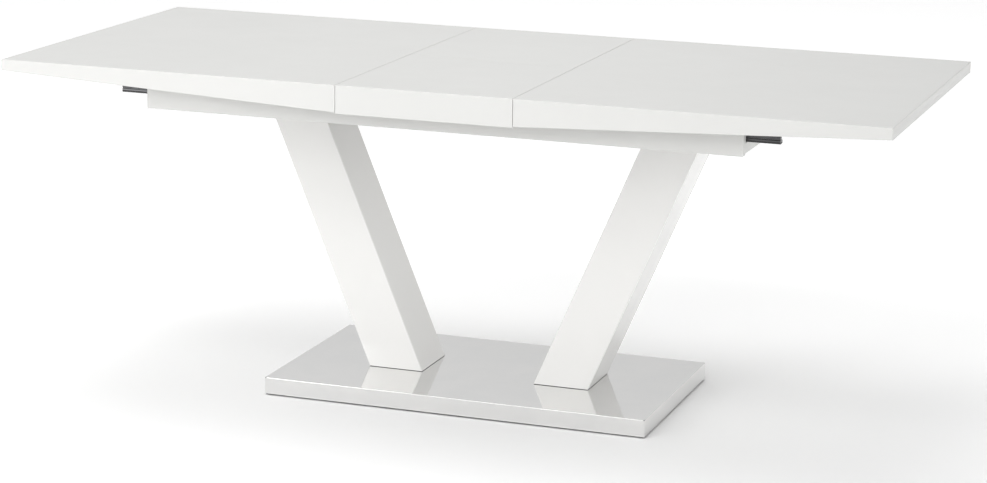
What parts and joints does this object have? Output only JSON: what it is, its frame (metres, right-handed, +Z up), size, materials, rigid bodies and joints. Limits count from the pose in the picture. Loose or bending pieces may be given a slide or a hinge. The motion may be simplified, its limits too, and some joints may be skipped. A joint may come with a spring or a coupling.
{
  "type": "extendable dining table",
  "caption": "Extendable dining table: top halves slide apart for a folding centre leaf, over a shallow frame on leaning box posts and a flat metal-covered base.",
  "frame": {"origin": "on the floor, under the middle of the extended table", "axes": "+X along the table's length, +Y towards the long side where the rear half of the leaf is, +Z up"},
  "size_m": [2, 0.9, 0.765],
  "materials": {
    "top_lacquer": "satin white lacquer on fibreboard",
    "post_lacquer": "high-gloss white lacquer on fibreboard",
    "frame_lacquer": "satin white lacquer on fibreboard",
    "raw_board": "raw fibreboard",
    "black_board": "black-painted fibreboard",
    "plain_wood": "planed beech",
    "polished_steel": "mirror-polished stainless sheet",
    "rail_metal": "dark anodised extrusion, satin",
    "black_steel": "black powder coat",
    "zinc_steel": "zinc plated",
    "hinge_brass": "turned brass",
    "black_plastic": "moulded, matte black",
    "gear_plastic": "moulded nylon, natural white"
  },
  "bodies": {
    "stand": {"base_bolts": "zinc_steel", "base_core": "black_board", "base_cover": "polished_steel", "base_glides": "black_plastic", "channel_screws": "zinc_steel", "cross_board_left": "frame_lacquer", "cross_board_right": "frame_lacquer", "end_board_left": "frame_lacquer", "end_board_right": "frame_lacquer", "frame_dowels": "plain_wood", "head_bolts": "zinc_steel", "head_plate_left": "black_steel", "head_plate_right": "black_steel", "leaf_rest_block_front": "plain_wood", "leaf_rest_block_rear": "plain_wood", "pinion_axle": "zinc_steel", "post_foot_block_left": "raw_board", "post_foot_block_right": "raw_board", "post_gasket_left": "black_plastic", "post_gasket_right": "black_plastic", "post_head_block_left": "raw_board", "post_head_block_right": "raw_board", "post_left": "post_lacquer", "post_right": "post_lacquer", "side_board_front": "frame_lacquer", "side_board_rear": "frame_lacquer", "slide_channel_front": "rail_metal", "slide_channel_rear": "rail_metal", "sync_board": "frame_lacquer", "sync_housing": "gear_plastic"},
    "top_left": {"edge_band_left_front": "top_lacquer", "edge_band_left_rear": "top_lacquer", "glide_strip_left_front": "black_plastic", "glide_strip_left_rear": "black_plastic", "rack_left": "gear_plastic", "rack_screws_left": "zinc_steel", "rail_left_front": "rail_metal", "rail_left_rear": "rail_metal", "rail_screws_left": "zinc_steel", "top_panel_left": "top_lacquer"},
    "top_right": {"edge_band_right_front": "top_lacquer", "edge_band_right_rear": "top_lacquer", "glide_strip_right_front": "black_plastic", "glide_strip_right_rear": "black_plastic", "rack_right": "gear_plastic", "rack_screws_right": "zinc_steel", "rail_right_front": "rail_metal", "rail_right_rear": "rail_metal", "rail_screws_right": "zinc_steel", "top_panel_right": "top_lacquer"},
    "sync_pinion": {"sync_pinion": "gear_plastic"},
    "leaf_rear": {"hinge_barrels_rear": "hinge_brass", "hinge_links": "hinge_brass", "leaf_band_rear": "top_lacquer", "leaf_panel_rear": "top_lacquer"},
    "leaf_front": {"hinge_barrels_front": "hinge_brass", "leaf_band_front": "top_lacquer", "leaf_panel_front": "top_lacquer"}
  },
  "joints": [
    {"name": "extension_slide", "type": "slide", "parent": "stand", "child": "top_left", "axis": [1, 0, 0], "range_m": [0, 0.2]},
    {"name": "right_half_slide", "type": "slide", "parent": "stand", "child": "top_right", "axis": [-1, 0, 0], "range_m": [0, 0.2]},
    {"name": "pinion_spin", "type": "hinge", "parent": "stand", "child": "sync_pinion", "pos_m": [0, 0, 0.7], "axis": [0, 0, 1], "range_deg": [0, 573]},
    {"name": "leaf_lift", "type": "slide", "parent": "stand", "child": "leaf_rear", "axis": [0, 0, 1], "range_m": [0, 0.75]},
    {"name": "leaf_fold", "type": "hinge", "parent": "leaf_rear", "child": "leaf_front", "pos_m": [0, 0, 0.7653], "axis": [-1, 0, 0], "range_deg": [0, 180]}
  ],
  "couplings": [
    {"joint": "right_half_slide", "follows": "extension_slide", "ratio": 1},
    {"joint": "pinion_spin", "follows": "extension_slide", "rad_per_m": 50},
    {"joint": "leaf_lift", "follows": "extension_slide", "ratio": 3.75}
  ]
}
